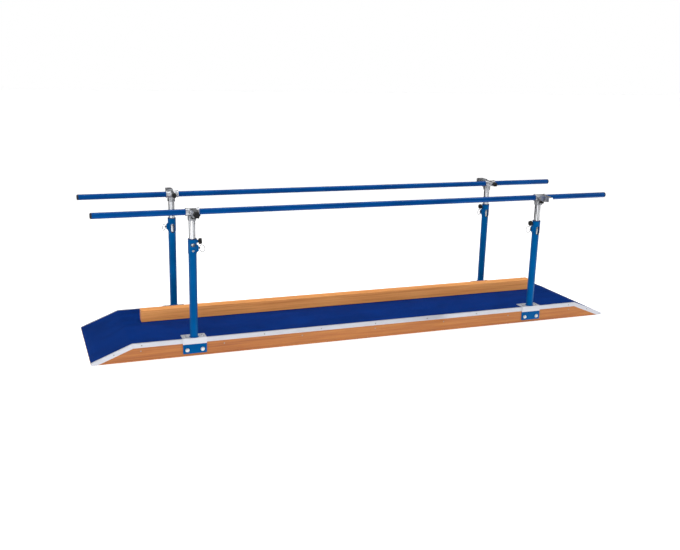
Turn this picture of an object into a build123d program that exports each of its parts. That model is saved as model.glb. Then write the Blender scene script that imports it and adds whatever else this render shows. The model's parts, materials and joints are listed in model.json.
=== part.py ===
from build123d import *
import os

# Parallel walking bars on a ramped timber platform. Millimetres.
# X runs along the bars, Y across them, Z up. "Front" is the -Y side, "back" the +Y side.
# The origin is on the floor at the centre of the platform's footprint.

# ---------------------------------------------------------------- platform
platform_length = 4000.0
platform_width = 800.0        # over the outer faces of the edge trims
ramp_run = 266.0              # length of each end ramp along X
foot_thickness = 2.0          # rubber pads that keep the timber off the floor
foot_size = 50.0
deck_top = 117.0              # top of the side beams and the panels
toe_height = 9.0              # timber height left at the tip of a ramp
side_beam_thickness = 30.0
panel_thickness = 18.0
joint_gap = 0.2               # gap between neighbouring timber pieces
mat_thickness = 5.0
batten_width = 60.0
batten_count = 7
batten_inset = 320.0          # end battens, from the ends of the platform
batten_screw_height = 70.0
feet_per_batten = 3
foot_inset = 90.0             # end feet, from the outer faces of the trims

# ---------------------------------------------------------------- edge trim
trim_thickness = 2.2
trim_height = 30.0            # depth of the trim's side face
trim_lip = 12.0               # how far its top lip reaches over the mat
trim_lip_thickness = 1.6
trim_groove_count = 5
trim_groove = 0.8             # half diagonal of each lengthwise groove
trim_screw_count = 9
trim_screw_inset = 60.0       # end screws, from the ramp knees
toe_screw_inset = 120.0       # ramp screws, from the knee along the slope

# ---------------------------------------------------------------- middle beam
middle_beam_inset = 392.0     # ends of the beam, from the ends of the platform
middle_beam_width = 76.0
middle_beam_height = 84.0
middle_beam_y = 94.0          # centre of the beam, towards the back
middle_beam_rounding = 3.0
middle_beam_screw_inset = 60.0

# ---------------------------------------------------------------- screws and bolts
screw_head_radius = 4.5
screw_shank_radius = 2.2
screw_recess_length = 5.0     # each arm of the cross recess
screw_recess_width = 1.1
screw_recess_depth = 1.5
trim_screw_length = 22.0
batten_screw_length = 60.0
long_screw_grip = 20.0        # depth of a middle beam screw into the deck
screw_hole_gap = 0.1
foot_bolt_radius = 6.0
foot_bolt_head_across = 19.0
foot_bolt_head_height = 8.0
foot_bolt_flange_radius = 13.5
foot_bolt_flange_thickness = 2.5
foot_bolt_depth = 26.0        # reach into the side beam
button_radius = 8.5
button_height = 5.0
button_shank_radius = 4.0
button_hole_gap = 0.1

# ---------------------------------------------------------------- foot angles and plates
post_inset_x = 678.0          # post axis from the end of the platform
post_inset_y = 25.0           # and from its long side
angle_length = 162.0
angle_depth = 86.0
angle_height = 42.0
angle_thickness = 5.0
angle_screw_x = 60.0          # screw rows, each side of the post
angle_screw_rows = (26.0, 56.0)   # from the angle's outer face
foot_plate_thickness = 5.0
foot_plate_bottom = 20.0
foot_plate_corner = 6.0
foot_bolt_x = 52.0
foot_bolt_z = 46.0
plate_gap = 0.3

# ---------------------------------------------------------------- posts
outer_wall = 2.5
bush_wall = 3.0               # guide bush between the two tubes
collar_top = 803.5            # top of the guide bush flange
collar_step = 2.5             # collar over the outer tube, radial
collar_length = 94.0
bush_flange_step = 1.0        # flange over the collar, radial
bush_flange_thickness = 4.0
bush_length = 84.0
inner_radius = 21.5
inner_wall = 2.5
running_gap = 0.08            # radial, inner tube in its bush
inner_tube_bottom = 270.0
post_base_ring = 2.5          # weld fillet where a post meets its angle

window_width = 28.0
window_height = 62.0
window_drop = 75.0            # centre of the window below the collar top
slot_width = 30.0
slot_height = 19.0
slot_drop = 39.0
bush_screw_drop = 78.0
bush_screw_flat = 1.4         # depth of the flat that seats the head, in the round collar
index_hole_radius = 4.5
index_pitch = 50.0
lowest_travel = 100.0         # how far the bars go down from this height
highest_travel = 250.0        # and how far up
scale_hole_drop = 56.0        # first hole seen in the window
scale_hole_count = 6

# ---------------------------------------------------------------- pull pins and rings
pin_drop = 65.0               # pin axis below the collar top
pin_stroke = 5.0
pin_nose_radius = 4.0
pin_body_radius = 5.0
pin_gap = 0.08                # radial, pin in its boss
pin_park_gap = 0.6            # nose to inner tube with the pin pulled out
pin_nose_length = 10.0
boss_reach = 10.5             # pin boss from the collar's surface
boss_width = 24.0
boss_half_root = 27.0
boss_half_face = 17.0
pin_eye_gap = 2.9             # eye of the pushed-in pin, from its boss
pin_end = 4.5                 # rod beyond the eye
ring_eye_radius = 2.7
ring_radius = 23.2
ring_wire_radius = 1.7

# ---------------------------------------------------------------- height clamp knobs
height_knob_drop = 19.5
height_knob_radius = 20.0
height_knob_thickness = 19.0
clamp_nut_radius = 11.0
clamp_nut_reach = 5.5         # from the collar's surface
knob_gap = 0.4
knob_neck_length = 7.6
knob_neck_radius = 9.0
knob_stem_radius = 4.0
knob_hole_gap = 0.3

# ---------------------------------------------------------------- bars
bar_height = 982.5            # bar axis above the floor
bar_radius = 20.0
bar_wall = 2.5
bar_end_inset = 58.0          # bar over its end caps, short of the platform at each end
bar_cap_length = 12.0
bar_plug_length = 30.0
front_bar_outboard = 10.0     # bar axes from the post axes, towards the outside
back_bar_outboard = -34.0
front_bar_shift = -20.0        # middle of each bar along X
back_bar_shift = -44.0

# ---------------------------------------------------------------- heads and rail clamps
sleeve_wall = 6.0
sleeve_drop = 58.0            # bottom of the sleeve below the bar axis
hub_wall = 4.0                # around the bar
hub_length = 88.0
hub_flange_step = 1.5
hub_flange_width = 7.0
hub_sleeve_gap = 1.0          # hub flange over the sleeve's top
head_fit = 0.05
sleeve_cap = 5.0
arm_rise = 4.0                # arm axis above the bar axis
arm_size = 32.0
arm_wall = 3.0
arm_gap = 0.3
housing_wall = 5.0
hub_housing_gap = 1.0         # hub to the housing, with the bar furthest out
housing_end = 122.0           # from the post axis, outboard
closed_housing_end = 140.0
housing_end_plate = 4.0
housing_rounding = 2.0
gusset_width = 26.0
riser_thickness = 4.5         # web that carries the housing
gusset_depth = 34.0
front_arm_reach = 158.0       # arm end from the post axis
back_arm_reach = 148.0
closed_arm_gap = 4.0
arm_plug_thickness = 3.0
arm_plug_depth = 12.0

width_knob_gap = 0.5          # knob to the web
width_knob_radius = 13.0
width_knob_thickness = 17.0
width_neck_length = 4.0

rail_boss_radius = 18.0
rail_boss_reach = 74.0        # from the bar axis, inboard
spigot_radius = 14.0
spigot_reach = 38.0
rail_knob_radius = 17.5
rail_knob_thickness = 20.0
rail_neck_length = 9.0
end_knob_radius = 23.0
end_knob_thickness = 22.0
end_neck_length = 6.0
end_stem_length = 30.0

# ---------------------------------------------------------------- worked out
half_length = platform_length / 2
half_width = platform_width / 2
knee_x = half_length - ramp_run
batten_pitch = (platform_length - 2 * batten_inset) / (batten_count - 1)
middle_beam_length = platform_length - 2 * middle_beam_inset
post_x = half_length - post_inset_x
post_y = half_width - post_inset_y
timber_bottom = foot_thickness
beam_face = half_width - trim_thickness       # outer face of a side beam
mat_top = deck_top + mat_thickness
lip_top = mat_top + trim_lip_thickness
angle_top = lip_top + angle_thickness
collar_body_top = collar_top - bush_flange_thickness
pin_z = collar_top - pin_drop
height_knob_z = collar_top - height_knob_drop
inner_bore = inner_radius + bush_wall
outer_radius = inner_bore + outer_wall
collar_radius = outer_radius + collar_step
bush_flange_radius = collar_radius + bush_flange_step
boss_face = collar_radius + boss_reach
clamp_nut_face = collar_radius + clamp_nut_reach
pin_eye = boss_face + pin_eye_gap + pin_stroke
sleeve_radius = inner_radius + sleeve_wall
hub_radius = bar_radius + hub_wall
hub_flange_radius = hub_radius + hub_flange_step
housing_start = front_bar_outboard + hub_radius + hub_housing_gap
gusset_end = housing_start + riser_thickness
width_knob_reach = gusset_end + width_knob_gap + width_knob_radius
front_bar_y = post_y + front_bar_outboard
back_bar_y = post_y + back_bar_outboard
bar_length = platform_length - 2 * bar_end_inset
sleeve_top = bar_height - hub_flange_radius - hub_sleeve_gap
sleeve_bottom = bar_height - sleeve_drop
tube_top = sleeve_top - sleeve_cap
arm_z = bar_height + arm_rise
arm_half = arm_size / 2
housing_half = arm_half + arm_gap + housing_wall
width_knob_z = arm_z - housing_half

# Name, sign of X, sign of Y, turn of the post's fittings, side of the height knob, and how
# far the ring is swung about its eye from straight out along the pin.
POSTS = (
    ("front_left", -1, -1, 180, "pin", -55),
    ("front_right", 1, -1, 0, "pin", 12),
    ("back_left", -1, 1, 0, "back", 55),
    ("back_right", 1, 1, 0, "pin", 32),
)


# ---------------------------------------------------------------- helpers
def block(x0, x1, y0, y1, z0, z1):
    size = Box(x1 - x0, y1 - y0, z1 - z0)
    return Pos((x0 + x1) / 2, (y0 + y1) / 2, (z0 + z1) / 2) * size


def rod(radius, start, end, axis="Z", at=(0, 0)):
    """A cylinder from start to end along an axis; at gives the other two coordinates."""
    length = end - start
    middle = (start + end) / 2
    if axis == "Z":
        return Pos(at[0], at[1], middle) * Cylinder(radius, length)
    if axis == "X":
        return Pos(middle, at[0], at[1]) * Rot(0, 90, 0) * Cylinder(radius, length)
    return Pos(at[0], middle, at[1]) * Rot(-90, 0, 0) * Cylinder(radius, length)


def side_profile(points, y0, y1):
    """Extrude a closed outline in the XZ plane from y0 to y1."""
    face = make_face(Polyline(*[(x, 0, z) for x, z in points], close=True))
    solid = extrude(face, amount=y1 - y0, dir=(0, 1, 0))
    return Pos(0, y0, 0) * solid


def racetrack(width, height, depth):
    """An upright slot cutter lying along Y, centred on the origin."""
    if width < height:
        outline = Rot(0, 0, 90) * SlotOverall(height, width)
    else:
        outline = SlotOverall(width, height)
    return extrude(Plane.XZ * outline, amount=depth / 2, both=True)


def save(solid, name, colour):
    solid.label = name
    solid.color = Color(*colour)
    export_step(solid, "parts/" + name + ".step")


WOOD = (0.72, 0.46, 0.24)
BLUE = (0.02, 0.22, 0.55)
MAT_BLUE = (0.0, 0.12, 0.42)
SILVER = (0.78, 0.78, 0.80)
CHROME = (0.85, 0.85, 0.88)
BLACK = (0.03, 0.03, 0.03)
GREY = (0.35, 0.36, 0.38)


# ---------------------------------------------------------------- fasteners
def countersunk_screw(length):
    """Head flush with the origin, shank down -Z."""
    head_depth = screw_head_radius - screw_shank_radius
    head = Pos(0, 0, -head_depth / 2) * Cone(screw_shank_radius, screw_head_radius, head_depth)
    recess = Box(screw_recess_length, screw_recess_width, 2 * screw_recess_depth)
    cross = recess + Rot(0, 0, 90) * recess
    return head + rod(screw_shank_radius, -length, -head_depth) - cross


def countersink(length):
    head_depth = screw_head_radius - screw_shank_radius
    wide = screw_head_radius + screw_hole_gap
    narrow = screw_shank_radius + screw_hole_gap
    head = Pos(0, 0, -head_depth / 2) * Cone(narrow, wide, head_depth)
    return head + rod(narrow, -length - screw_hole_gap, -head_depth)


def foot_bolt():
    """Flanged hexagon bolt: flange seated on the origin, shank along -Z."""
    flange = rod(foot_bolt_flange_radius, 0, foot_bolt_flange_thickness)
    hexagon = extrude(RegularPolygon(foot_bolt_head_across / 2, 6, major_radius=False),
                      amount=foot_bolt_head_height)
    head = Pos(0, 0, foot_bolt_flange_thickness) * hexagon
    crown = foot_bolt_flange_thickness + foot_bolt_head_height
    dome = Pos(0, 0, crown / 2) * Cone(foot_bolt_flange_radius + crown, foot_bolt_head_across / 2,
                                      crown)
    shank_end = foot_plate_thickness + foot_bolt_depth
    return (flange + head) & dome + rod(foot_bolt_radius, -shank_end, 0)


def button_screw(length):
    """Button head seated on the origin, with a hexagon socket."""
    head = Pos(0, 0, button_height / 2) * Cone(button_radius, button_radius * 0.62, button_height)
    socket = Pos(0, 0, button_height * 0.4) * extrude(RegularPolygon(button_radius * 0.35, 6),
                                                      amount=button_height)
    return head - socket + rod(button_shank_radius, -length, 0)


def outward(sign_y):
    """Turn +Z to face outwards along Y."""
    return Rot(-90 * sign_y, 0, 0)


# ---------------------------------------------------------------- where fasteners go
def trim_screw_places():
    span = 2 * (knee_x - trim_screw_inset)
    step = span / (trim_screw_count - 1)
    z = lip_top - trim_height / 2
    flat = [(-span / 2 + step * i, z) for i in range(trim_screw_count)]
    slope_x = knee_x + toe_screw_inset
    slope_z = z - toe_screw_inset * ramp_slope()
    return flat + [(slope_x, slope_z), (-slope_x, slope_z)]


def batten_places():
    first = -(batten_count - 1) / 2 * batten_pitch
    return [first + batten_pitch * i for i in range(batten_count)]


def ramp_slope():
    return (deck_top - timber_bottom - toe_height) / ramp_run


def ramp_angle():
    return Vector(1, 0, 0).get_angle(Vector(1, 0, ramp_slope()))


def side_screws(shape):
    """A screw, or the hole for one, at every place in the platform's long sides."""
    trim_shape = shape(trim_screw_length)
    batten_shape = shape(batten_screw_length)
    placed = []
    for sign in (-1, 1):
        for x, z in trim_screw_places():
            placed.append(Pos(x, sign * half_width, z) * outward(sign) * trim_shape)
        for x in batten_places():
            spot = Pos(x, sign * beam_face, batten_screw_height)
            placed.append(spot * outward(sign) * batten_shape)
    return placed


def middle_screw_locations():
    x = middle_beam_length / 2 - middle_beam_screw_inset
    z = mat_top + middle_beam_height
    return [Pos(x, middle_beam_y, z), Pos(-x, middle_beam_y, z)]


def foot_bolt_locations():
    places = []
    for _, sx, sy, _, _, _ in POSTS:
        for side in (-1, 1):
            face = beam_face + foot_plate_thickness
            spot = Pos(sx * post_x + side * foot_bolt_x, sy * face, foot_bolt_z)
            places.append(spot * outward(sy))
    return places


def angle_screw_locations():
    places = []
    for _, sx, sy, _, _, _ in POSTS:
        for side in (-1, 1):
            for row in angle_screw_rows:
                y = sy * (half_width + angle_thickness - row)
                places.append(Pos(sx * post_x + side * angle_screw_x, y, angle_top))
    return places


def bush_screw_locations():
    z = collar_top - bush_screw_drop
    places = []
    for _, sx, sy, turn, _, _ in POSTS:
        face = Pos(0, collar_radius - bush_screw_flat, z) * outward(1)
        places.append(Pos(sx * post_x, sy * post_y, 0) * Rot(0, 0, turn) * face)
    return places


long_screw_length = middle_beam_height + mat_thickness + long_screw_grip
angle_screw_length = angle_thickness + trim_lip_thickness + mat_thickness + 10.0
bush_screw_length = collar_radius - bush_screw_flat - inner_bore + 2.0


# ---------------------------------------------------------------- platform pieces
def timber_outline(half, top, bottom):
    """Side view of the platform timber, flat on top with a ramp at each end."""
    return [(-half, bottom), (-half, bottom + toe_height), (-knee_x, top), (knee_x, top),
            (half, bottom + toe_height), (half, bottom)]


def side_beam(sign):
    inner = beam_face - side_beam_thickness
    y0, y1 = sorted((sign * inner, sign * beam_face))
    beam = side_profile(timber_outline(half_length, deck_top, timber_bottom), y0, y1)
    cutters = side_screws(countersink)
    bolt_reach = foot_plate_thickness + foot_bolt_depth + screw_hole_gap
    cutters += [place * rod(foot_bolt_radius + screw_hole_gap, -bolt_reach, 0)
                for place in foot_bolt_locations()]
    hole = rod(button_shank_radius + button_hole_gap, -angle_screw_length - button_hole_gap, 0)
    cutters += [place * hole for place in angle_screw_locations()]
    return beam - cutters


def inner_half_width():
    return beam_face - side_beam_thickness - joint_gap


def deck_panels():
    """Two plywood panels that meet over the middle batten."""
    hole_radius = screw_shank_radius + screw_hole_gap
    screws = [place * rod(hole_radius, -long_screw_length - screw_hole_gap, 0)
              for place in middle_screw_locations()]
    wide = inner_half_width()
    hole = rod(button_shank_radius + button_hole_gap, -angle_screw_length - button_hole_gap, 0)
    screws += [place * hole for place in angle_screw_locations()]
    panels = []
    for side in (-1, 1):
        x0, x1 = sorted((side * joint_gap / 2, side * (knee_x - joint_gap / 2)))
        panels.append(block(x0, x1, -wide, wide, deck_top - panel_thickness, deck_top) - screws)
    return Compound(children=panels)


def ramp_panels():
    """A sloping panel in each ramp, ending in a thin nose."""
    wide = inner_half_width()
    start = knee_x + joint_gap / 2
    top_start = deck_top - joint_gap / 2 * ramp_slope()
    nose_top = timber_bottom + toe_height
    under_nose = half_length - (panel_thickness - toe_height) / ramp_slope()
    outline = [(start, top_start), (half_length, nose_top), (half_length, timber_bottom),
               (under_nose, timber_bottom), (start, top_start - panel_thickness)]
    right = side_profile(outline, -wide, wide)
    return Compound(children=[right, mirror(right, about=Plane.YZ)])


def cross_battens():
    """Timber battens between the side beams, under the panels."""
    wide = inner_half_width()
    top = deck_top - panel_thickness
    holes = side_screws(countersink)
    battens = []
    for x in batten_places():
        batten = block(x - batten_width / 2, x + batten_width / 2, -wide, wide,
                       timber_bottom, top)
        battens.append(batten - holes)
    return Compound(children=battens)


def rubber_feet():
    reach = half_width - foot_inset
    step = 2 * reach / (feet_per_batten - 1)
    feet = []
    for x in batten_places():
        for i in range(feet_per_batten):
            pad = block(-foot_size / 2, foot_size / 2, -foot_size / 2, foot_size / 2,
                        0, foot_thickness)
            feet.append(Pos(x, -reach + step * i, 0) * pad)
    return Compound(children=feet)


def mat():
    """One covering over the deck and down both ramps."""
    half = half_length
    low = timber_bottom + toe_height
    outline = [(-half, low), (-half, low + mat_thickness), (-knee_x, mat_top), (knee_x, mat_top),
               (half, low + mat_thickness), (half, low), (knee_x, deck_top), (-knee_x, deck_top)]
    cover = side_profile(outline, -beam_face, beam_face)
    hole = rod(button_shank_radius + button_hole_gap, -angle_screw_length, 0)
    cutters = [place * hole for place in angle_screw_locations()]
    cutters += [place * rod(screw_shank_radius + screw_hole_gap, -long_screw_length, 0)
                for place in middle_screw_locations()]
    return cover - cutters


def trim_section():
    """Cross-section of the edge trim on the front side, in the YZ plane at X = 0."""
    face_y = -half_width
    outline = [(face_y, lip_top), (face_y + trim_thickness + trim_lip, lip_top),
               (face_y + trim_thickness + trim_lip, mat_top), (face_y + trim_thickness, mat_top),
               (face_y + trim_thickness, lip_top - trim_height), (face_y, lip_top - trim_height)]
    section = make_face(Polyline(*[(0, y, z) for y, z in outline], close=True))
    step = trim_height / (trim_groove_count + 1)
    for i in range(trim_groove_count):
        z = lip_top - step * (i + 1)
        corners = [(0, face_y, z + trim_groove), (0, face_y + trim_groove, z),
                   (0, face_y, z - trim_groove)]
        section -= make_face(Polyline(*corners, close=True))
    return section


def trim_pieces(sign):
    """A flat run and two mitred ramp runs of edge trim."""
    section = trim_section()
    reach = ramp_run * 1.3
    flat = extrude(section, amount=half_length, dir=(1, 0, 0), both=True)
    slope = extrude(section, amount=reach, dir=(1, 0, 0), both=True)
    angle = ramp_angle()
    about_knee = Pos(knee_x, 0, mat_top) * Rot(0, angle, 0) * Pos(-knee_x, 0, -mat_top)
    slope = about_knee * Pos(knee_x, 0, 0) * slope
    mitre = Pos(knee_x, 0, mat_top) * Rot(0, angle / 2, 0)
    big = platform_length * 2
    keep_left = mitre * Pos(-big / 2 - joint_gap / 2, 0, 0) * Box(big, big, big)
    keep_right = mitre * Pos(reach + joint_gap / 2, 0, 0) * Box(2 * reach, big, big)
    mirrored_left = mirror(keep_left, about=Plane.YZ)
    above_floor = block(-half_length, half_length, -half_width, half_width,
                        timber_bottom, lip_top)
    flat = flat & keep_left & mirrored_left
    ramp = slope & keep_right & above_floor
    pieces = [flat, ramp, mirror(ramp, about=Plane.YZ)]
    cutters = side_screws(countersink)
    pieces = [piece - cutters for piece in pieces]
    if sign > 0:
        pieces = [mirror(piece, about=Plane.XZ) for piece in pieces]
    return Compound(children=pieces)


def middle_beam():
    half = middle_beam_length / 2
    y0 = middle_beam_y - middle_beam_width / 2
    timber = block(-half, half, y0, y0 + middle_beam_width, mat_top, mat_top + middle_beam_height)
    timber = fillet(timber.edges().filter_by(Axis.X), middle_beam_rounding)
    cutters = [place * countersink(long_screw_length) for place in middle_screw_locations()]
    return timber - cutters


def countersunk_screws():
    screws = side_screws(countersunk_screw)
    screws += [place * countersunk_screw(long_screw_length)
               for place in middle_screw_locations()]
    return Compound(children=screws)


# ---------------------------------------------------------------- foot pieces
def foot_angle(sx, sy):
    """Extruded angle over the platform's edge, under the post."""
    outer = half_width + angle_thickness
    x0 = sx * post_x - angle_length / 2
    x1 = x0 + angle_length
    ya, yb = sorted((sy * outer, sy * (outer - angle_depth)))
    yc, yd = sorted((sy * outer, sy * half_width))
    top = block(x0, x1, ya, yb, lip_top, angle_top)
    leg = block(x0, x1, yc, yd, angle_top - angle_height, angle_top)
    angle = top + leg
    corner = angle.edges().filter_by(Axis.X).sort_by(lambda e: -e.center().Z - abs(e.center().Y))
    angle = fillet(corner[0], angle_thickness * 0.3)
    step = angle_height / (trim_groove_count + 1)
    grooves = []
    for i in range(trim_groove_count):
        z = angle_top - step * (i + 1)
        groove = Rot(45, 0, 0) * Box(angle_length, trim_groove, trim_groove)
        grooves.append(Pos(sx * post_x, sy * outer, z) * groove)
    hole = rod(button_shank_radius + button_hole_gap, -angle_screw_length, 0)
    grooves += [place * hole for place in angle_screw_locations()]
    return angle - grooves


def foot_plates():
    """Painted plates bolted to the side beams below the angles."""
    plates = []
    top = angle_top - angle_height - plate_gap
    for _, sx, sy, _, _, _ in POSTS:
        x0 = sx * post_x - angle_length / 2
        ya, yb = sorted((sy * beam_face, sy * (beam_face + foot_plate_thickness)))
        plate = block(x0, x0 + angle_length, ya, yb, foot_plate_bottom, top)
        low = plate.edges().filter_by(Axis.Y).sort_by(Axis.Z)[0:2]
        plates.append(fillet(low, foot_plate_corner))
    reach = foot_plate_thickness * 2
    holes = [place * rod(foot_bolt_radius + screw_hole_gap, -reach, 0)
             for place in foot_bolt_locations()]
    return Compound(children=[plate - holes for plate in plates])


def foot_bolts():
    return Compound(children=[place * foot_bolt() for place in foot_bolt_locations()])


def button_head_screws():
    screws = [place * button_screw(angle_screw_length) for place in angle_screw_locations()]
    screws += [place * button_screw(bush_screw_length) for place in bush_screw_locations()]
    return Compound(children=screws)


# ---------------------------------------------------------------- posts
# Post fittings are drawn about the post axis, pin towards -X and window towards -Y.
def at_post(sx, sy, turn, shape):
    return Pos(sx * post_x, sy * post_y, 0) * Rot(0, 0, turn) * shape


def window_cutter():
    depth = 2 * collar_radius
    z = collar_top - window_drop
    return Pos(0, -collar_radius, z) * racetrack(window_width, window_height, depth - 2.0)


def slot_cutter():
    depth = 2 * collar_radius
    z = collar_top - slot_drop
    return Pos(0, collar_radius, z) * racetrack(slot_width, slot_height, depth - 2.0)


def bush_screw_cutter():
    """The screw's hole, and the flat under its head."""
    z = collar_top - bush_screw_drop
    seat = collar_radius - bush_screw_flat
    hole = rod(button_shank_radius + button_hole_gap, 0, seat, "Y", (0, z))
    return hole + rod(button_radius + button_hole_gap, seat, collar_radius + 1, "Y", (0, z))


def knob_turn(knob_side):
    """Turn from the pin side to the side that carries the height knob."""
    return -90 if knob_side == "back" else 0


def knob_hole(knob_side):
    radius = knob_stem_radius + knob_hole_gap
    return Rot(0, 0, knob_turn(knob_side)) * rod(radius, -clamp_nut_face - 1, 0, "X",
                                                  (0, height_knob_z))


def outer_post(sx, sy, turn, knob_side):
    tube = rod(outer_radius, angle_top, collar_body_top)
    collar = rod(collar_radius, collar_body_top - collar_length, collar_body_top)
    base = Pos(0, 0, angle_top + post_base_ring / 2)
    base *= Cone(outer_radius + post_base_ring, outer_radius, post_base_ring)
    root = collar_radius - outer_wall
    boss = side_profile([(-root, pin_z - boss_half_root), (-root, pin_z + boss_half_root),
                         (-boss_face, pin_z + boss_half_face),
                         (-boss_face, pin_z - boss_half_face)],
                        -boss_width / 2, boss_width / 2)
    nut = Rot(0, 0, knob_turn(knob_side)) * rod(clamp_nut_radius, -clamp_nut_face,
                                                -inner_bore - 1, "X", (0, height_knob_z))
    body = tube + collar + base + boss + nut
    body -= rod(inner_bore, angle_top, collar_body_top)
    body -= [window_cutter(), slot_cutter(), bush_screw_cutter(), knob_hole(knob_side)]
    body -= rod(pin_body_radius + pin_gap, -boss_face, 0, "X", (0, pin_z))
    return at_post(sx, sy, turn, body)


def guide_bush(knob_side):
    """Plastic liner that the inner tube slides in."""
    liner = rod(inner_bore, collar_body_top - bush_length, collar_body_top)
    flange = rod(bush_flange_radius, collar_body_top, collar_top)
    flange = chamfer(flange.edges().sort_by(Axis.Z)[-1], 1.0)
    bush = liner + flange
    bush -= rod(inner_radius + running_gap, collar_body_top - bush_length, collar_top)
    bush -= [window_cutter(), slot_cutter(), bush_screw_cutter(), knob_hole(knob_side)]
    bush -= rod(pin_body_radius + knob_hole_gap, -inner_bore - 1, 0, "X", (0, pin_z))
    return bush


def guide_bushes():
    bushes = []
    for _, sx, sy, turn, knob_side, _ in POSTS:
        bushes.append(at_post(sx, sy, turn, guide_bush(knob_side)))
    return Compound(children=bushes)


def inner_tube(sx, sy, turn):
    tube = rod(inner_radius, inner_tube_bottom, tube_top)
    tube -= rod(inner_radius - inner_wall, inner_tube_bottom, tube_top)
    count = int(round((lowest_travel + highest_travel) / index_pitch)) + 1
    cutters = []
    for i in range(count):
        z = pin_z + lowest_travel - index_pitch * i
        cutters.append(rod(index_hole_radius, -inner_radius - 1, 0, "X", (0, z)))
    for i in range(scale_hole_count):
        z = collar_top - scale_hole_drop - index_pitch * i
        cutters.append(rod(index_hole_radius, -inner_radius - 1, 0, "Y", (0, z)))
    cutters.append(rod(index_hole_radius, 0, inner_radius + 1, "Y", (0, collar_top - slot_drop)))
    return at_post(sx, sy, turn, tube - cutters)


# ---------------------------------------------------------------- pins, rings and knobs
def pull_pin(sx, sy, turn):
    """Index pin, pulled out and parked beside the inner tube."""
    tip = -inner_radius - pin_park_gap
    shoulder = tip - pin_nose_length
    pin = rod(pin_nose_radius, shoulder, tip, "X", (0, pin_z))
    body = rod(pin_body_radius, -pin_eye - pin_end, shoulder, "X", (0, pin_z))
    body = chamfer(body.edges().sort_by(Axis.X)[0], 0.8)
    eye = rod(ring_eye_radius, pin_z - 2 * pin_body_radius, pin_z + 2 * pin_body_radius, "Z",
              (-pin_eye, 0))
    return at_post(sx, sy, turn, pin + body - eye)


def pull_ring(sx, sy, turn, swing):
    """Wire ring through the pin's eye, swung about the eye."""
    ring = Rot(90, 0, 0) * Torus(ring_radius, ring_wire_radius)
    swung = Rot(0, 0, swing) * Pos(-ring_radius, 0, 0) * ring
    return at_post(sx, sy, turn, Pos(-pin_eye, 0, pin_z) * swung)


def star_knob(radius, thickness, neck_radius, neck_length, stem_length, lobes=6):
    """Lobed hand knob. The neck starts at the origin, the stem runs down -Z."""
    lobe_radius = radius * 0.28
    outline = Circle(radius * 0.80)
    for i in range(lobes):
        outline += Rot(0, 0, 360 / lobes * i) * Pos(radius - lobe_radius, 0) * Circle(lobe_radius)
    outline = fillet(outline.vertices(), radius * 0.12)
    head = extrude(outline, amount=thickness)
    head = fillet(head.edges().group_by(Axis.Z)[-1], radius * 0.10)
    head = Pos(0, 0, neck_length) * head
    knob = head + rod(neck_radius, 0, neck_length)
    return knob + rod(knob_stem_radius, -stem_length, 0)


def height_knob(sx, sy, turn, knob_side):
    stem = clamp_nut_face - inner_radius - knob_gap
    knob = star_knob(height_knob_radius, height_knob_thickness, knob_neck_radius,
                     knob_neck_length, stem)
    placed = Pos(-clamp_nut_face - knob_gap, 0, height_knob_z) * Rot(0, -90, 0) * knob
    return at_post(sx, sy, turn, Rot(0, 0, knob_turn(knob_side)) * placed)


# ---------------------------------------------------------------- heads, rail clamps and bars
# Heads and clamps are drawn about the post axis with outboard towards +Y.
def at_head(sx, sy, shape):
    return Pos(sx * post_x, sy * post_y, 0) * Rot(0, 0, 0 if sy > 0 else 180) * shape


def post_head(sx, sy, closed):
    """Casting on the inner tube: sleeve, gusset and the arm's housing."""
    end = closed_housing_end if closed else housing_end
    half = housing_half
    housing = block(-half, half, housing_start, end, arm_z - half, arm_z + half)
    housing = fillet(housing.edges().filter_by(Axis.Y), housing_rounding)
    bore_end = end - housing_end_plate if closed else end
    bore_half = arm_half + arm_gap
    bore = block(-bore_half, bore_half, housing_start, bore_end,
                 arm_z - bore_half, arm_z + bore_half)
    sleeve = rod(sleeve_radius, sleeve_bottom, sleeve_top)
    sleeve = chamfer(sleeve.edges().sort_by(Axis.Z)[0], 1.5)
    gusset_top = arm_z - half
    gusset = block(-gusset_width / 2, gusset_width / 2, 0, gusset_end,
                   gusset_top - gusset_depth, sleeve_top)
    riser = block(-gusset_width / 2, gusset_width / 2, housing_start, gusset_end,
                  gusset_top - gusset_depth, gusset_top + housing_rounding)
    head = sleeve + gusset + riser + housing - bore
    head -= rod(inner_radius + head_fit, sleeve_bottom, tube_top)
    hole_radius = knob_stem_radius + knob_hole_gap
    head -= rod(hole_radius, width_knob_z - 1, arm_z - arm_half, "Z", (0, width_knob_reach))
    if closed:
        head -= rod(hole_radius, bore_end, end, "Y", (0, arm_z))
    return at_head(sx, sy, head)


def clamp_y(sy):
    """Bar axis measured outboard from the post axis."""
    return front_bar_y - post_y if sy < 0 else back_bar_y - post_y


def arm_end(sy, closed):
    if closed:
        return closed_housing_end - housing_end_plate - closed_arm_gap
    return front_arm_reach if sy < 0 else back_arm_reach


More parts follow.
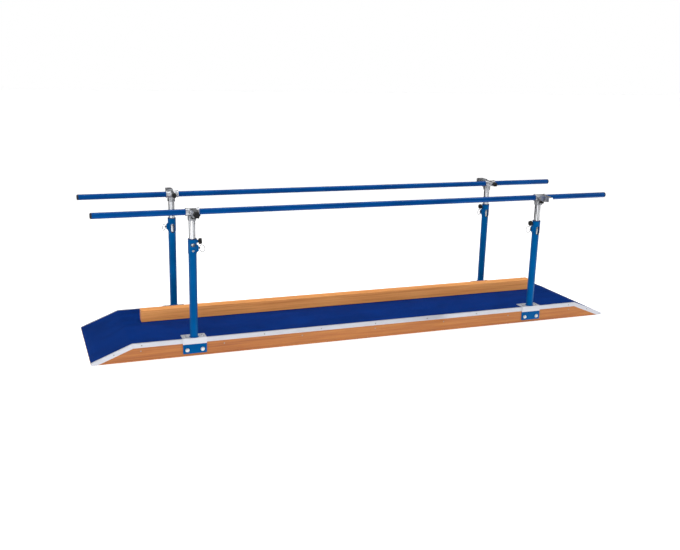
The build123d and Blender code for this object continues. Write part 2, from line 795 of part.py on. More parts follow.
def rail_clamp(sx, sy, closed):
    """Hub that grips the bar, with the square arm that slides in the head."""
    y = clamp_y(sy)
    half = hub_length / 2
    hub = rod(hub_radius, -half, half, "X", (y, bar_height))
    for side in (-1, 1):
        x0, x1 = sorted((side * half, side * (half - hub_flange_width)))
        hub += rod(hub_flange_radius, x0, x1, "X", (y, bar_height))
    end = arm_end(sy, closed)
    arm = block(-arm_half, arm_half, y, end, arm_z - arm_half, arm_z + arm_half)
    hollow = arm_half - arm_wall
    arm -= block(-hollow, hollow, y + hub_radius, end, arm_z - hollow, arm_z + hollow)
    clamp = hub + arm
    if sy > 0:
        clamp += rod(rail_boss_radius, y - rail_boss_reach, y, "Y", (0, arm_z))
    else:
        clamp += rod(spigot_radius, y - spigot_reach, y, "Y", (0, arm_z))
    clamp -= rod(bar_radius + head_fit, -half, half, "X", (y, bar_height))
    if sy > 0:
        clamp -= rod(knob_stem_radius + knob_hole_gap, y - rail_boss_reach, y, "Y", (0, arm_z))
    return at_head(sx, sy, clamp)


def arm_plug(sx, sy):
    """Plastic plug in the open end of an arm."""
    end = arm_end(sy, False)
    face = block(-arm_half, arm_half, end, end + arm_plug_thickness,
                 arm_z - arm_half, arm_z + arm_half)
    face = chamfer(face.edges().sort_by(Axis.Y)[-4:], 1.0)
    inside = arm_half - arm_wall
    spigot = block(-inside, inside, end - arm_plug_depth, end, arm_z - inside, arm_z + inside)
    return at_head(sx, sy, face + spigot)


def bar(sy):
    shift = front_bar_shift if sy < 0 else back_bar_shift
    y = sy * (front_bar_y if sy < 0 else back_bar_y)
    half = bar_length / 2 - bar_cap_length
    tube = rod(bar_radius, shift - half, shift + half, "X", (y, bar_height))
    return tube - rod(bar_radius - bar_wall, shift - half, shift + half, "X", (y, bar_height))


def bar_caps(sy):
    """Domed plastic caps plugged into the ends of a bar."""
    shift = front_bar_shift if sy < 0 else back_bar_shift
    y = sy * (front_bar_y if sy < 0 else back_bar_y)
    cap = rod(bar_radius, 0, bar_cap_length)
    cap = fillet(cap.edges().sort_by(Axis.Z)[-1], bar_cap_length * 0.6)
    cap += rod(bar_radius - bar_wall, -bar_plug_length, 0)
    seat = bar_length / 2 - bar_cap_length
    caps = []
    for side in (-1, 1):
        caps.append(Pos(shift + side * seat, y, bar_height) * Rot(0, 90 * side, 0) * cap)
    return Compound(children=caps)


def width_knob(sx, sy):
    """Small knob under the housing that locks the arm."""
    stem = housing_wall + arm_gap / 2 - knob_gap / 2
    knob = star_knob(width_knob_radius, width_knob_thickness, knob_neck_radius * 0.8,
                     width_neck_length, stem)
    placed = Pos(0, width_knob_reach, width_knob_z - knob_gap) * Rot(180, 0, 0) * knob
    return at_head(sx, sy, placed)


def rail_knob(sx, sy):
    """Knob on the inboard boss that grips the bar in its hub."""
    face = clamp_y(sy) - rail_boss_reach
    stem = rail_boss_reach - bar_radius - 2 * knob_gap
    knob = star_knob(rail_knob_radius, rail_knob_thickness, knob_neck_radius,
                     rail_neck_length, stem)
    return at_head(sx, sy, Pos(0, face - knob_gap, arm_z) * Rot(90, 0, 0) * knob)


def end_knob(sx, sy):
    """Large knob on the closed end of a housing."""
    knob = star_knob(end_knob_radius, end_knob_thickness, knob_neck_radius,
                     end_neck_length, end_stem_length)
    placed = Pos(0, closed_housing_end + knob_gap, arm_z) * Rot(-90, 0, 0) * knob
    return at_head(sx, sy, placed)


# ---------------------------------------------------------------- write the pieces
def build_platform():
    save(side_beam(-1), "side_beam_front", WOOD)
    save(side_beam(1), "side_beam_back", WOOD)
    save(deck_panels(), "deck_panels", WOOD)
    save(ramp_panels(), "ramp_panels", WOOD)
    save(cross_battens(), "cross_battens", WOOD)
    save(rubber_feet(), "rubber_feet", BLACK)
    save(mat(), "mat", MAT_BLUE)
    save(trim_pieces(-1), "edge_trim_front", SILVER)
    save(trim_pieces(1), "edge_trim_back", SILVER)
    save(middle_beam(), "middle_beam", WOOD)
    save(countersunk_screws(), "countersunk_screws", SILVER)
    save(foot_plates(), "foot_plates", BLUE)
    save(foot_bolts(), "foot_bolts", SILVER)
    save(button_head_screws(), "button_head_screws", SILVER)
    save(guide_bushes(), "guide_bushes", GREY)


def build_posts():
    for name, sx, sy, turn, knob_side, swing in POSTS:
        closed = name == "front_left"
        save(foot_angle(sx, sy), "foot_angle_" + name, SILVER)
        save(outer_post(sx, sy, turn, knob_side), "outer_post_" + name, BLUE)
        save(inner_tube(sx, sy, turn), "inner_tube_" + name, CHROME)
        save(post_head(sx, sy, closed), "post_head_" + name, SILVER)
        save(rail_clamp(sx, sy, closed), "rail_clamp_" + name, SILVER)
        save(height_knob(sx, sy, turn, knob_side), "height_knob_" + name, BLACK)
        save(pull_pin(sx, sy, turn), "pull_pin_" + name, SILVER)
        save(pull_ring(sx, sy, turn, swing), "pull_ring_" + name, CHROME)
        save(width_knob(sx, sy), "width_knob_" + name, BLACK)


def build_rails():
    save(bar(-1), "bar_front", BLUE)
    save(bar(1), "bar_back", BLUE)
    save(bar_caps(-1), "bar_caps_front", BLACK)
    save(bar_caps(1), "bar_caps_back", BLACK)
    save(arm_plug(1, -1), "arm_plug_front", GREY)
    save(Compound(children=[arm_plug(-1, 1), arm_plug(1, 1)]), "arm_plugs_back", GREY)
    save(rail_knob(-1, 1), "rail_knob_back_left", BLACK)
    save(rail_knob(1, 1), "rail_knob_back_right", BLACK)
    save(end_knob(-1, -1), "end_knob_front_left", BLACK)


os.makedirs("parts", exist_ok=True)
build_platform()
build_posts()
build_rails()
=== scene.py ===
import json
import math

import bmesh
import bpy
from mathutils import Matrix, Vector, noise


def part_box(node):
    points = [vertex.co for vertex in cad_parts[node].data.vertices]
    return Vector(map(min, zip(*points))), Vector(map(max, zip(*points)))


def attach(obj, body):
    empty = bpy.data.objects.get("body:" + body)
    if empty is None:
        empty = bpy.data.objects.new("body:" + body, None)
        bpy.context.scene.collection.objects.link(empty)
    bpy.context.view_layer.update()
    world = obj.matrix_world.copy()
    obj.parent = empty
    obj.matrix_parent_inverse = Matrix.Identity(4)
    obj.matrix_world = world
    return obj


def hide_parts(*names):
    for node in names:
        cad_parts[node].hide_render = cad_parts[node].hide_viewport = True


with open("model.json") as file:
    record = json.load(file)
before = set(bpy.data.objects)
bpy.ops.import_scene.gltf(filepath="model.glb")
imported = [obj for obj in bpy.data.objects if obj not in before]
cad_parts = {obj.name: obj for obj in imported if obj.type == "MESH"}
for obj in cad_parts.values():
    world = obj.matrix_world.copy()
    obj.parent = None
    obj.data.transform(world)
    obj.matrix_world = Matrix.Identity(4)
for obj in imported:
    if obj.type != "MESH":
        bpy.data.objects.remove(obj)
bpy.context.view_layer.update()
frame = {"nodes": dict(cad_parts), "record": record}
NODES = frame["nodes"]

# Places on the object, in metres, beside what the frame's boxes give.
CORNERS = ("front_left", "front_right", "back_left", "back_right")
COLLAR_RADIUS = 0.0295
POST_RADIUS = 0.027
WINDOW = (0.028, 0.062, 0.075)       # width, height, centre below the collar top
SLOT = (0.030, 0.019, 0.039)
MAT_THICKNESS = 0.005
TOE_HEIGHT = 0.009                   # timber left at the tip of a ramp
RAMP_RUN = 0.266
HUB_FLANGE_RADIUS = 0.0255
HUB_SCREW_REACH = 0.0405             # from the middle of a hub to its end screws

# Dark cards round the posts: spans in degrees from the camera's side.
FLAG_REACH = 2.0
FLAG_HEIGHT = 1.3
FLAG_SPANS = ((116.0, 275.0), (60.0, 86.0), (20.0, 38.0), (-42.0, -26.0))

# Camera: place in metres, angles in degrees, lens in millimetres on a 36 mm sensor.
CAMERA_PLACE = Vector((-2.379, -5.712, 1.979))
CAMERA_YAW = 21.17                   # from +Y towards +X
CAMERA_PITCH = 14.53                 # below the horizon
CAMERA_ROLL = 1.44
CAMERA_LENS = 44.42
CAMERA_SHIFT = (0.0066, -0.0018)


# ------------------------------------------------------------------ materials
class Finish:
    """A procedural material: one Principled shader fed by textures laid out in metres."""

    def __init__(self, name, **sockets):
        self.material = bpy.data.materials.new(name)
        self.material.use_nodes = True
        self.nodes = self.material.node_tree.nodes
        self.links = self.material.node_tree.links
        self.shader = self.nodes["Principled BSDF"]
        for socket, value in sockets.items():
            self.shader.inputs[socket.replace("_", " ")].default_value = value
        coordinates = self.nodes.new("ShaderNodeTexCoord")
        self.here = coordinates.outputs["Object"]
        self.normal = coordinates.outputs["Normal"]

    def feed(self, socket, value):
        """Link an output to a socket, or set the socket to a plain value."""
        if isinstance(value, bpy.types.NodeSocket):
            self.links.new(value, socket)
        else:
            socket.default_value = value

    def scaled(self, scale, shift=(0.0, 0.0, 0.0)):
        node = self.nodes.new("ShaderNodeMapping")
        node.inputs["Scale"].default_value = scale
        node.inputs["Location"].default_value = shift
        self.links.new(self.here, node.inputs["Vector"])
        return node.outputs["Vector"]

    def noise(self, scale, detail=3.0, roughness=0.5, distortion=0.0, shift=(0.0, 0.0, 0.0)):
        """Noise with features about one over scale metres long on each axis."""
        node = self.nodes.new("ShaderNodeTexNoise")
        node.inputs["Scale"].default_value = 1.0
        node.inputs["Detail"].default_value = detail
        node.inputs["Roughness"].default_value = roughness
        node.inputs["Distortion"].default_value = distortion
        self.links.new(self.scaled(scale, shift), node.inputs["Vector"])
        return node.outputs["Fac"]

    def cells(self, scale):
        node = self.nodes.new("ShaderNodeTexVoronoi")
        node.inputs["Scale"].default_value = 1.0
        self.links.new(self.scaled(scale), node.inputs["Vector"])
        return node.outputs["Distance"]

    def rings(self, scale, shift, distortion):
        """Growth rings about the X axis through shift."""
        node = self.nodes.new("ShaderNodeTexWave")
        node.wave_type = "RINGS"
        node.rings_direction = "X"
        node.inputs["Scale"].default_value = 1.0
        node.inputs["Distortion"].default_value = distortion
        node.inputs["Detail"].default_value = 3.0
        node.inputs["Detail Scale"].default_value = 1.5
        self.links.new(self.scaled(scale, shift), node.inputs["Vector"])
        return node.outputs["Fac"]

    def ramp(self, value, *stops):
        node = self.nodes.new("ShaderNodeValToRGB")
        ends = node.color_ramp.elements
        while len(ends) < len(stops):
            ends.new(0.5)
        for end, (position, colour) in zip(ends, stops):
            end.position = position
            end.color = colour if isinstance(colour, tuple) else (colour, colour, colour, 1.0)
        self.links.new(value, node.inputs["Fac"])
        return node.outputs["Color"]

    def mix(self, factor, first, second, blend="MIX"):
        node = self.nodes.new("ShaderNodeMix")
        node.data_type = "RGBA"
        node.blend_type = blend
        self.feed(node.inputs["Factor"], factor)
        self.feed(node.inputs["A"], first)
        self.feed(node.inputs["B"], second)
        return node.outputs["Result"]

    def sum(self, first, second, operation="ADD"):
        node = self.nodes.new("ShaderNodeMath")
        node.operation = operation
        self.feed(node.inputs[0], first)
        self.feed(node.inputs[1], second)
        return node.outputs["Value"]

    def part_of_normal(self, axis):
        """How far a face looks along an axis, from 0 to 1, either way."""
        node = self.nodes.new("ShaderNodeSeparateXYZ")
        self.links.new(self.normal, node.inputs["Vector"])
        return self.sum(node.outputs[axis], 0.0, "ABSOLUTE")

    def colour(self, value):
        self.feed(self.shader.inputs["Base Color"], value)

    def roughness(self, value, low, high):
        self.feed(self.shader.inputs["Roughness"], self.ramp(value, (0.3, low), (0.7, high)))

    def bump(self, height, distance, strength=1.0):
        node = self.nodes.new("ShaderNodeBump")
        node.inputs["Strength"].default_value = strength
        node.inputs["Distance"].default_value = distance
        self.links.new(height, node.inputs["Height"])
        self.links.new(node.outputs["Normal"], self.shader.inputs["Normal"])


def rgb(red, green, blue):
    """A display colour from 0 to 255, as the linear colour that a shader takes."""
    linear = []
    for part in (red, green, blue):
        share = part / 255
        linear.append(share / 12.92 if share <= 0.04045 else ((share + 0.055) / 1.055) ** 2.4)
    return (*linear, 1.0)


def timber(name, light, middle, dark, gloss):
    """Varnished beech: long soft grain, short dark flecks, and growth rings on the end faces."""
    wood = Finish(name, Coat_Weight=gloss, Coat_Roughness=0.28)
    broad = wood.noise((0.45, 9.0, 9.0), detail=3.0, distortion=0.4)
    grain = wood.noise((2.4, 120.0, 120.0), detail=5.0, roughness=0.6, distortion=0.15)
    fibre = wood.noise((30.0, 1500.0, 1500.0), detail=2.0)
    along = wood.mix(0.5, wood.mix(0.5, broad, grain), grain)
    body = wood.ramp(along, (0.32, dark), (0.50, middle), (0.66, light))
    flecks = wood.ramp(wood.noise((60.0, 620.0, 620.0), detail=1.0), (0.62, 0.0), (0.72, 0.4))
    streaks = wood.ramp(wood.noise((1.1, 46.0, 46.0), detail=2.0), (0.64, 0.0), (0.76, 0.35))
    face = wood.mix(wood.mix(0.5, flecks, streaks, "ADD"), body, dark)
    rings = wood.ramp(wood.rings((1.0, 62.0, 62.0), (0.0, 4.0, 2.0), 1.6), (0.2, dark),
                      (0.8, middle))
    end = wood.mix(wood.noise((400.0, 900.0, 900.0)), rings, dark, "MULTIPLY")
    end = wood.mix(0.72, end, middle)
    ends = wood.ramp(wood.part_of_normal("X"), (0.80, 0.0), (0.95, 1.0))
    wood.colour(wood.mix(ends, face, end))
    wood.roughness(grain, 0.38, 0.56)
    wood.bump(wood.sum(grain, fibre), 0.0002, 0.5)
    return wood.material


def plywood():
    """Sanded panels with thin plies on their edges, and plain battens."""
    ply = Finish("plywood", Roughness=0.62)
    grain = ply.noise((4.0, 120.0, 120.0), detail=5.0, roughness=0.6, distortion=0.4)
    face = ply.ramp(grain, (0.35, rgb(176, 132, 86)), (0.7, rgb(214, 176, 128)))
    layers = ply.ramp(ply.noise((2.0, 2.0, 640.0), detail=0.0), (0.45, rgb(140, 96, 58)),
                      (0.55, rgb(205, 165, 116)))
    edges = ply.ramp(ply.part_of_normal("Z"), (0.2, 1.0), (0.4, 0.0))
    ply.colour(ply.mix(edges, face, layers))
    ply.roughness(grain, 0.52, 0.70)
    ply.bump(grain, 0.0003)
    return ply.material


def carpet():
    """Short needle-felt pile: speckled fibres, slow mottling and a soft sheen."""
    felt = Finish("carpet", Sheen_Weight=0.03, Sheen_Roughness=0.5,
                  Sheen_Tint=rgb(20, 70, 190), Specular_IOR_Level=0.2,
                  Specular_Tint=(0.0, 0.15, 0.8, 1.0))
    fibres = felt.noise((1400.0, 1400.0, 1400.0), detail=3.0, roughness=0.7)
    tufts = felt.cells((420.0, 420.0, 420.0))
    mottle = felt.noise((3.0, 7.0, 7.0), detail=4.0, roughness=0.6, distortion=0.5)
    base = felt.ramp(mottle, (0.32, rgb(0, 30, 86)), (0.52, rgb(0, 38, 104)),
                     (0.72, rgb(0, 44, 116)))
    speckle = felt.ramp(fibres, (0.35, rgb(0, 18, 62)), (0.65, rgb(0, 58, 142)))
    felt.colour(felt.mix(0.34, base, speckle))
    felt.roughness(tufts, 0.82, 0.98)
    felt.bump(felt.sum(fibres, tufts), 0.0012, 0.7)
    return felt.material


def paint(name, deep, bright, roughness, coat, peel):
    """Powder coat with a fine orange peel, faint rubbing marks and slow colour drift."""
    coat_of = Finish(name, Coat_Weight=coat, Coat_Roughness=0.12, Specular_IOR_Level=0.5,
                     Specular_Tint=(0.0, 0.30, 0.95, 1.0))
    drift = coat_of.noise((4.0, 9.0, 9.0), detail=3.0)
    rubbed = coat_of.noise((16.0, 60.0, 34.0), detail=6.0, roughness=0.7, distortion=1.0)
    coat_of.colour(coat_of.ramp(drift, (0.35, deep), (0.65, bright)))
    coat_of.roughness(rubbed, roughness * 0.82, roughness * 1.22)
    coat_of.bump(coat_of.noise((peel, peel, peel), detail=2.0), 0.00006, 0.5)
    return coat_of.material


def drawn_aluminium(name, tone):
    """Extruded and anodised: fine lines along X, with a little soiling."""
    metal = Finish(name, Metallic=0.55)
    lines = metal.noise((2.5, 1300.0, 1300.0), detail=3.0, roughness=0.6)
    soil = metal.noise((9.0, 40.0, 40.0), detail=5.0, roughness=0.65, distortion=0.6)
    dull = tuple(part * 0.84 for part in tone[:3]) + (1.0,)
    metal.colour(metal.ramp(metal.mix(0.25, lines, soil), (0.38, dull), (0.58, tone)))
    metal.roughness(soil, 0.38, 0.54)
    metal.bump(lines, 0.00012, 0.55)
    return metal.material


def cast_head():
    """Cast heads under a pale silver powder coat."""
    metal = Finish("cast_head", Metallic=0.85, Coat_Weight=0.05, Coat_Roughness=0.35)
    skin = metal.noise((420.0, 420.0, 420.0), detail=3.0, roughness=0.6)
    drift = metal.noise((30.0, 30.0, 30.0), detail=4.0)
    metal.colour(metal.ramp(drift, (0.35, rgb(150, 152, 156)), (0.65, rgb(196, 198, 202))))
    metal.roughness(drift, 0.20, 0.34)
    metal.bump(skin, 0.00018, 0.6)
    return metal.material


def polished_chrome():
    chrome = Finish("polished_chrome", Metallic=1.0)
    film = chrome.noise((26.0, 26.0, 8.0), detail=5.0, roughness=0.65, distortion=0.8)
    chrome.colour(chrome.ramp(film, (0.3, rgb(214, 216, 221)), (0.7, rgb(236, 237, 240))))
    chrome.roughness(film, 0.05, 0.13)
    rub = chrome.noise((900.0, 900.0, 30.0), detail=2.0)
    chrome.bump(rub, 0.00002, 0.4)
    return chrome.material


def steel(name, tone, roughness):
    """Turned and plated steel for screws, pins and rings."""
    metal = Finish(name, Metallic=1.0)
    cloud = metal.noise((160.0, 160.0, 160.0), detail=4.0, roughness=0.6)
    turning = metal.noise((1600.0, 1600.0, 1600.0), detail=2.0)
    dull = tuple(part * 0.72 for part in tone[:3]) + (1.0,)
    metal.colour(metal.ramp(cloud, (0.35, dull), (0.6, tone)))
    metal.roughness(cloud, roughness * 0.8, roughness * 1.3)
    metal.bump(turning, 0.00003, 0.5)
    return metal.material


def moulded_plastic(name, tone, roughness, grain):
    """Moulded plastic with a fine spark-eroded grain."""
    plastic = Finish(name, Specular_IOR_Level=0.25)
    skin = plastic.noise((grain, grain, grain), detail=3.0, roughness=0.65)
    drift = plastic.noise((60.0, 60.0, 60.0), detail=4.0, roughness=0.6)
    lifted = tuple(min(1.0, part * 1.35 + 0.002) for part in tone[:3]) + (1.0,)
    plastic.colour(plastic.ramp(drift, (0.35, tone), (0.7, lifted)))
    plastic.roughness(drift, roughness * 0.85, roughness * 1.15)
    plastic.bump(skin, 0.00008, 0.7)
    return plastic.material


def all_finishes():
    """One material for each material slot of the record."""
    side = timber("side_timber", rgb(178, 114, 50), rgb(164, 96, 36), rgb(136, 72, 24), 0.03)
    beam = timber("beam_timber", rgb(240, 170, 98), rgb(230, 154, 84), rgb(206, 128, 64), 0.04)
    return {
        "side_timber": side,
        "beam_timber": beam,
        "panel_timber": plywood(),
        "rubber_pad": moulded_plastic("pad_rubber", rgb(26, 26, 27), 0.85, 700.0),
        "mat_cover": carpet(),
        "trim_metal": drawn_aluminium("trim_aluminium", rgb(204, 206, 213)),
        "foot_angle_metal": drawn_aluminium("angle_aluminium", rgb(208, 210, 216)),
        "screw_steel": steel("zinc_steel", rgb(214, 216, 216), 0.30),
        "wood_screw_steel": steel("wood_screw_steel", rgb(150, 148, 144), 0.40),
        "socket_screw_steel": steel("socket_screw_steel", rgb(206, 208, 212), 0.28),
        "post_paint": paint("post_paint", rgb(0, 68, 122), rgb(0, 78, 136), 0.40, 0.0, 650.0),
        "bar_paint": paint("bar_paint", rgb(0, 50, 108), rgb(0, 60, 122), 0.24, 0.04, 420.0),
        "tube_chrome": polished_chrome(),
        "head_metal": cast_head(),
        "pin_steel": steel("pin_steel", rgb(100, 102, 108), 0.26),
        "bush_plastic": moulded_plastic("bush_plastic", rgb(20, 44, 84), 0.45, 900.0),
        "plug_plastic": moulded_plastic("plug_plastic", rgb(226, 227, 230), 0.42, 1100.0),
        "knob_plastic": moulded_plastic("knob_plastic", rgb(12, 12, 13), 0.44, 1300.0),
        "cap_plastic": moulded_plastic("cap_plastic", rgb(20, 21, 26), 0.36, 1000.0),
    }


# ------------------------------------------------------------------ mesh helpers
def add_mesh(name, points, faces, finish, smooth=True):
    mesh = bpy.data.meshes.new(name)
    mesh.from_pydata([tuple(point) for point in points], [], faces)
    mesh.validate()
    mesh.update()
    for polygon in mesh.polygons:
        polygon.use_smooth = smooth
    mesh.materials.append(finish)
    piece = bpy.data.objects.new(name, mesh)
    bpy.context.scene.collection.objects.link(piece)
    return piece


def sweep(path, section):
    """Points and faces of a closed ring: section(step) gives the outline at each path step.

    path holds (centre, outward, sideways) triples, and section gives (out, side) pairs."""
    points = []
    for step, (centre, outward, sideways) in enumerate(path):
        for out, side in section(step):
            points.append(centre + outward * out + sideways * side)
    count = len(section(0))
    faces = []
    for step in range(len(path)):
        following = (step + 1) % len(path)
        for i in range(count):
            j = (i + 1) % count
            faces.append((step * count + i, step * count + j, following * count + j,
                          following * count + i))
    return points, faces


def round_outline(radius_out, radius_side, corners=10):
    turns = [2 * math.pi * i / corners for i in range(corners)]
    return [(radius_out * math.cos(turn), radius_side * math.sin(turn)) for turn in turns]


# ------------------------------------------------------------------ the mat
def mat_height(x, top, toe_top, half, knee):
    """Height of the mat's surface at x, with a soft bend over each knee."""
    bend = 0.004
    slope = (top - toe_top) / (half - knee)
    past = abs(x) - knee
    ease = bend * math.log1p(math.exp(min(past / bend, 40.0)))
    return top - slope * (past if past > 40 * bend else ease)


def even_steps(count, half):
    return [-half + 2 * half * i / count for i in range(count + 1)]


def lay_mat(finish):
    """The carpet over the deck and down both ramps, cut square at the toes."""
    low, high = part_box("mat")
    half = high.x
    width = high.y - 0.0002
    toe_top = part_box("side_beam_front")[0].z + TOE_HEIGHT + MAT_THICKNESS
    knee = half - RAMP_RUN
    columns = 100
    xs = even_steps(500, half)
    ys = even_steps(columns, width)
    points = []
    for layer in (0, 1):
        for x in xs:
            surface = mat_height(x, high.z, toe_top, half, knee)
            for y in ys:
                waves = noise.noise(Vector((x * 1.7, y * 4.0, 0.3))) * 0.5 + 0.5
                fine = noise.noise(Vector((x * 55.0, y * 55.0, 2.0))) * 0.5 + 0.5
                sunk = 0.0005 * waves + 0.00025 * fine
                edge = min(half - abs(x), 0.0016)
                rounding = 0.0016 - math.sqrt(max(0.0, 0.0016 ** 2 - (0.0016 - edge) ** 2))
                top = surface - sunk - rounding
                points.append((x, y, top if layer == 0 else surface - MAT_THICKNESS + 0.0001))
    across = columns + 1
    layer_size = across * len(xs)
    faces = []
    for i in range(len(xs) - 1):
        for j in range(columns):
            a = i * across + j
            faces.append((a, a + across, a + across + 1, a + 1))
            b = a + layer_size
            faces.append((b, b + 1, b + across + 1, b + across))
    for i in range(len(xs) - 1):
        for j, flip in ((0, True), (columns, False)):
            a = i * across + j
            side = (a, a + layer_size, a + across + layer_size, a + across)
            faces.append(side if flip else side[::-1])
    for i, flip in ((0, False), (len(xs) - 1, True)):
        for j in range(columns):
            a = i * across + j
            side = (a, a + layer_size, a + 1 + layer_size, a + 1)
            faces.append(side if flip else side[::-1])
    piece = add_mesh("mat_carpet", points, faces, finish)
    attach(piece, "platform")
    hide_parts("mat")


# ------------------------------------------------------------------ small pieces on the posts
def post_axis(corner):
    low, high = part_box("inner_tube_" + corner)
    return (low + high) / 2


def weld_bead(corner, finish):
    """The rippled weld where a post stands on its foot angle."""
    axis = post_axis(corner)
    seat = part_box("foot_angle_" + corner)[1].z
    steps, ripples = 216, 36
    path = []
    for step in range(steps):
        turn = 2 * math.pi * step / steps
        outward = Vector((math.cos(turn), math.sin(turn), 0.0))
        centre = Vector((axis.x, axis.y, seat + 0.0006)) + outward * (POST_RADIUS + 0.0006)
        path.append((centre, outward, Vector((0.0, 0.0, 1.0))))

    def section(step):
        size = 0.0036 + 0.0005 * abs(math.sin(math.pi * ripples * step / steps))
        size += 0.0003 * noise.noise(Vector((step * 0.11, axis.x, axis.y)))
        return [(out, max(side, -0.0005)) for out, side in round_outline(size, size, 12)]

    piece = add_mesh("weld_bead_" + corner, *sweep(path, section), finish)
    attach(piece, "platform")


def slot_rim(name, corner, size, facing, finish):
    """A rounded rim that follows the collar's curve around one of its openings."""
    width, height, drop = size
    axis = post_axis(corner)
    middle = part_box("guide_bushes")[1].z - drop
    short, long = min(width, height) / 2, max(width, height) / 2
    straight = long - short
    steps = 96
    path = []
    for step in range(steps):
        turn = 2 * math.pi * step / steps
        reach = Vector((math.cos(turn), math.sin(turn)))
        shift = straight * (1.0 if reach.y >= 0 else -1.0)
        flat = Vector((reach.x * short, reach.y * short + shift))
        if width > height:
            flat, reach = Vector((flat.y, -flat.x)), Vector((reach.y, -reach.x))
        depth = math.sqrt(COLLAR_RADIUS ** 2 - flat.x ** 2)
        out = Vector((flat.x, -depth, 0.0)).normalized()
        side = Vector((reach.x, 0.0, reach.y))
        side = (side - out * side.dot(out)).normalized()
        centre = Vector((flat.x, -depth, flat.y))
        turned = Matrix.Rotation(0.0 if facing < 0 else math.pi, 3, "Z")
        base = Vector((axis.x, axis.y, middle))
        path.append((base + turned @ centre, turned @ out, turned @ side))
    outline = round_outline(0.0009, 0.0015, 12)
    piece = add_mesh(name + "_" + corner, *sweep(path, lambda step: outline), finish)
    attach(piece, "platform")


def hub_screw(name, place, body, finish):
    """A low socket screw standing on a hub: rounded head with a hexagonal recess."""
    mesh = bmesh.new()
    rings = ((0.0042, -0.0012), (0.0042, 0.0012), (0.0037, 0.0020), (0.0026, 0.0024),
             (0.0021, 0.0022), (0.0020, 0.0008))
    sides = 24
    circles = []
    for index, (radius, height) in enumerate(rings):
        circle = []
        for i in range(sides):
            turn = 2 * math.pi * i / sides
            flat = math.cos(math.pi / 6) / math.cos((turn % (math.pi / 3)) - math.pi / 6)
            reach = radius * (flat if index >= 4 else 1.0)
            circle.append(mesh.verts.new((reach * math.cos(turn), reach * math.sin(turn), height)))
        circles.append(circle)
    for inner, outer in zip(circles[1:], circles):
        for i in range(sides):
            j = (i + 1) % sides
            mesh.faces.new((outer[i], outer[j], inner[j], inner[i]))
    mesh.faces.new(circles[-1])
    mesh.faces.new(circles[0][::-1])
    data = bpy.data.meshes.new(name)
    mesh.to_mesh(data)
    mesh.free()
    data.materials.append(finish)
    piece = bpy.data.objects.new(name, data)
    piece.location = place
    bpy.context.scene.collection.objects.link(piece)
    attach(piece, body)


def hub_screws(corner, finish):
    """Two screws on top of each hub, which hold the bar."""
    side = corner.split("_")[0]
    low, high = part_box("bar_" + side)
    axis_y = (low.y + high.y) / 2
    axis_z = (low.z + high.z) / 2
    x = post_axis(corner).x
    for end, shift in (("left", -HUB_SCREW_REACH), ("right", HUB_SCREW_REACH)):
        place = Vector((x + shift, axis_y, axis_z + HUB_FLANGE_RADIUS))
        hub_screw(f"hub_screw_{corner}_{end}", place, "rail_" + side, finish)


def dress_posts(finishes):
    for corner in CORNERS:
        weld_bead(corner, finishes["post_paint"])
        window_side = 1 if corner == "front_left" else -1
        slot_rim("window_rim", corner, WINDOW, window_side, finishes["pin_steel"])
        slot_rim("slot_rim", corner, SLOT, -window_side, finishes["pin_steel"])
        hub_screws(corner, finishes["screw_steel"])


# ------------------------------------------------------------------ stage, lights, camera
def add_floor():
    floor_finish = Finish("studio_floor", Roughness=0.85, Emission_Strength=0.45,
                          Emission_Color=(1.0, 1.0, 1.0, 1.0))
    cloud = floor_finish.noise((0.6, 0.6, 0.6), detail=2.0)
    floor_finish.colour(floor_finish.ramp(cloud, (0.3, rgb(243, 243, 243)),
                                          (0.7, rgb(246, 246, 246))))
    size = 40.0
    corners = [(-size, -size, 0.0), (size, -size, 0.0), (size, size, 0.0), (-size, size, 0.0)]
    floor = add_mesh("floor", corners, [(0, 1, 2, 3)], floor_finish.material)


def add_light(name, place, target, size, power):
    data = bpy.data.lights.new(name, "AREA")
    data.shape = "RECTANGLE"
    data.size, data.size_y = size
    data.energy = power
    light = bpy.data.objects.new(name, data)
    light.location = place
    direction = Vector(target) - Vector(place)
    light.rotation_euler = direction.to_track_quat("-Z", "Y").to_euler()
    bpy.context.scene.collection.objects.link(light)


def add_world():
    """A white studio. Reflections also meet darker strips, as polished tubes show."""
    world = bpy.data.worlds.new("studio")
    world.use_nodes = True
    nodes, links = world.node_tree.nodes, world.node_tree.links
    background = nodes["Background"]
    background.inputs["Strength"].default_value = 0.95
    bpy.context.scene.world = world
    white = nodes.new("ShaderNodeBackground")
    white.inputs["Color"].default_value = (1.0, 1.0, 1.0, 1.0)
    white.inputs["Strength"].default_value = 1.0
    direction = nodes.new("ShaderNodeTexCoord")
    gradient = nodes.new("ShaderNodeTexGradient")
    gradient.gradient_type = "RADIAL"
    strips = nodes.new("ShaderNodeValToRGB")
    stops = ((0.00, 0.10), (0.06, 0.10), (0.08, 1.0), (0.30, 1.0), (0.32, 0.12), (0.39, 0.12),
             (0.41, 1.0), (0.58, 1.0), (0.61, 0.10), (0.77, 0.10), (0.80, 1.0), (0.97, 1.0),
             (0.99, 0.10))
    ends = strips.color_ramp.elements
    while len(ends) < len(stops):
        ends.new(0.5)
    for end, (position, shade) in zip(ends, stops):
        end.position = position
        end.color = (shade, shade, shade, 1.0)
    path = nodes.new("ShaderNodeLightPath")
    choose = nodes.new("ShaderNodeMixShader")
    links.new(direction.outputs["Generated"], gradient.inputs["Vector"])
    links.new(gradient.outputs["Fac"], strips.inputs["Fac"])
    links.new(strips.outputs["Color"], background.inputs["Color"])
    links.new(path.outputs["Is Camera Ray"], choose.inputs["Fac"])
    links.new(background.outputs["Background"], choose.inputs[1])
    links.new(white.outputs["Background"], choose.inputs[2])
    links.new(choose.outputs["Shader"], nodes["World Output"].inputs["Surface"])


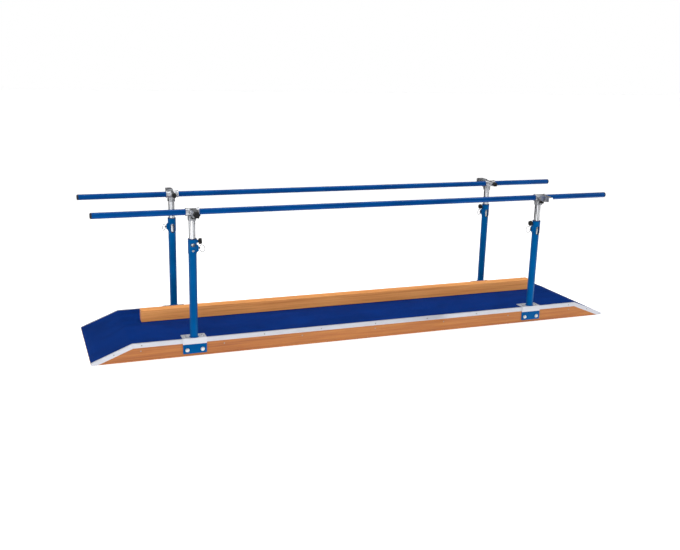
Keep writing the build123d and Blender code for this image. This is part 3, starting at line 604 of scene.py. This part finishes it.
def flag(name, centre, start, end, finish):
    """A dark card curved about a point on the floor. Only reflections meet it."""
    steps = 16
    points = []
    for height in (0.0, FLAG_HEIGHT):
        for step in range(steps + 1):
            turn = math.radians(start + (end - start) * step / steps)
            points.append((centre[0] + FLAG_REACH * math.cos(turn),
                           centre[1] + FLAG_REACH * math.sin(turn), height))
    faces = [(i, i + 1, i + steps + 2, i + steps + 1) for i in range(steps)]
    card = add_mesh(name, points, faces, finish)
    card.visible_camera = False
    card.visible_diffuse = False
    card.visible_shadow = False


def add_flags():
    """Cards round each pair of posts, which give the polished tubes their dark bands."""
    finish = Finish("dark_card", Roughness=0.9, Base_Color=(0.03, 0.03, 0.03, 1.0)).material
    for side, sign in (("left", -1), ("right", 1)):
        centre = Vector((sign * post_axis("front_right").x, 0.0))
        towards = CAMERA_PLACE.xy - centre
        facing = math.degrees(math.atan2(towards.y, towards.x))
        for index, (start, end) in enumerate(FLAG_SPANS):
            flag(f"flag_{side}_{index}", centre, facing + start, facing + end, finish)


def add_camera():
    data = bpy.data.cameras.new("camera")
    data.sensor_width = 36.0
    data.lens = CAMERA_LENS
    data.shift_x, data.shift_y = CAMERA_SHIFT
    data.clip_end = 200.0
    camera = bpy.data.objects.new("camera", data)
    camera.location = CAMERA_PLACE
    turn = Matrix.Rotation(math.radians(-CAMERA_YAW), 4, "Z")
    tilt = Matrix.Rotation(math.radians(90.0 - CAMERA_PITCH), 4, "X")
    roll = Matrix.Rotation(math.radians(CAMERA_ROLL), 4, "Z")
    camera.matrix_world = Matrix.Translation(CAMERA_PLACE) @ turn @ tilt @ roll
    bpy.context.scene.collection.objects.link(camera)
    bpy.context.scene.camera = camera


def set_up_studio():
    add_camera()
    add_world()
    add_floor()
    add_flags()
    add_light("key", (-4.5, -5.5, 4.5), (0.0, 0.0, 0.5), (3.5, 2.5), 190.0)
    add_light("overhead", (0.0, 0.5, 4.2), (0.0, 0.0, 0.0), (6.0, 2.5), 110.0)
    add_light("fill", (5.5, -3.0, 2.6), (0.5, 0.0, 0.5), (2.5, 2.5), 40.0)
    bpy.context.scene.view_settings.view_transform = "Standard"


# ------------------------------------------------------------------ put it together
def finish_cad_nodes(finishes):
    for part in frame["record"]["subparts"]:
        for slot in NODES[part["node"]].material_slots:
            slot.material = finishes[part["material_slot"]]


set_up_studio()
FINISHES = all_finishes()
finish_cad_nodes(FINISHES)
lay_mat(FINISHES["mat_cover"])
dress_posts(FINISHES)
